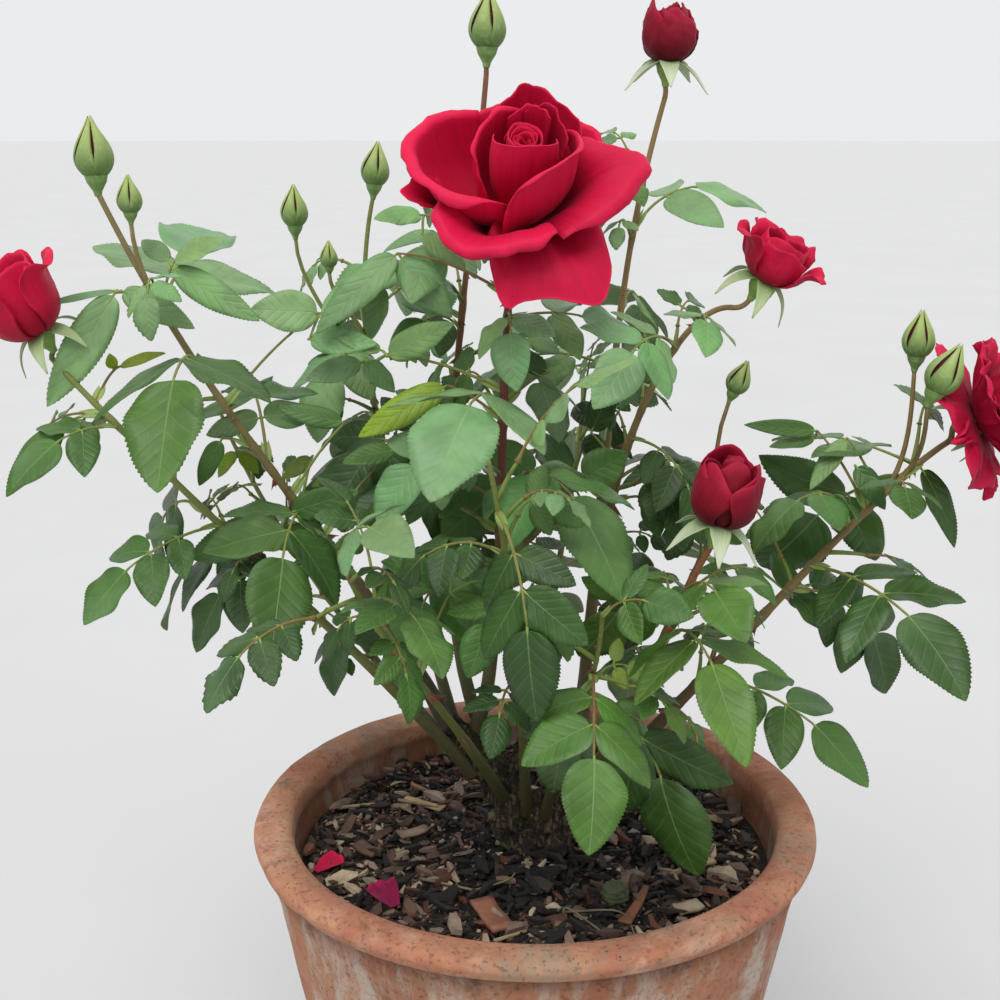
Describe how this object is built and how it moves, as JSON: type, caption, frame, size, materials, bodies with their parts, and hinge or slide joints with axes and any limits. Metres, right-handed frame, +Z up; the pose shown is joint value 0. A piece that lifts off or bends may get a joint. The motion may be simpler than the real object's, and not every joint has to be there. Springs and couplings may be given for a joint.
{
  "type": "potted rose bush",
  "caption": "Bushy garden rose with thorny canes, toothed compound leaves, buds and velvety red blooms, growing in a tapered terracotta pot with a rolled rim.",
  "frame": {"origin": "centre of the pot's flat underside", "axes": "+Z up; +X towards the bush's right as seen from the front; -Y is the front, which the largest bloom faces"},
  "size_m": [0.5096, 0.3488, 0.6359],
  "materials": {
    "terracotta": "fired unglazed clay, weathered",
    "compost": "damp dark compost and bark chips",
    "bark": "rough woody bark",
    "cane": "smooth green and brown rind",
    "foliage": "satin green leaves",
    "petal": "velvety dark red petals"
  },
  "bodies": {
    "root": {"pot": "terracotta", "soil": "compost", "trunk": "bark", "pruned_stub_back": "bark", "pruned_stub_front": "bark", "bough_left_low": "cane", "bough_left_tall": "cane", "bough_centre": "cane", "bough_back_centre": "cane", "bough_back_left": "cane", "bough_right_back": "cane", "bough_right_upper": "cane", "bough_right_main": "cane", "bough_front_right": "cane", "bough_front_middle": "cane", "bough_front_left": "cane", "bough_back_low": "cane", "bough_back_right": "cane", "bough_back_low_left": "cane", "bough_front_centre": "cane", "mass_left_low": "foliage", "mass_left_tall": "foliage", "mass_centre": "foliage", "mass_back_centre": "foliage", "mass_back_left": "foliage", "mass_right_back": "foliage", "mass_right_upper": "foliage", "mass_right_main": "foliage", "mass_front_right": "foliage", "mass_front_middle": "foliage", "mass_front_left": "foliage", "mass_back_low": "foliage", "mass_back_right": "foliage", "mass_back_low_left": "foliage", "mass_front_centre": "foliage", "bloom_left_low": "petal", "bloom_centre": "petal", "bloom_right_back": "petal", "bloom_right_upper": "petal", "bloom_right_main": "petal", "bloom_front_right": "petal"}
  },
  "joints": []
}
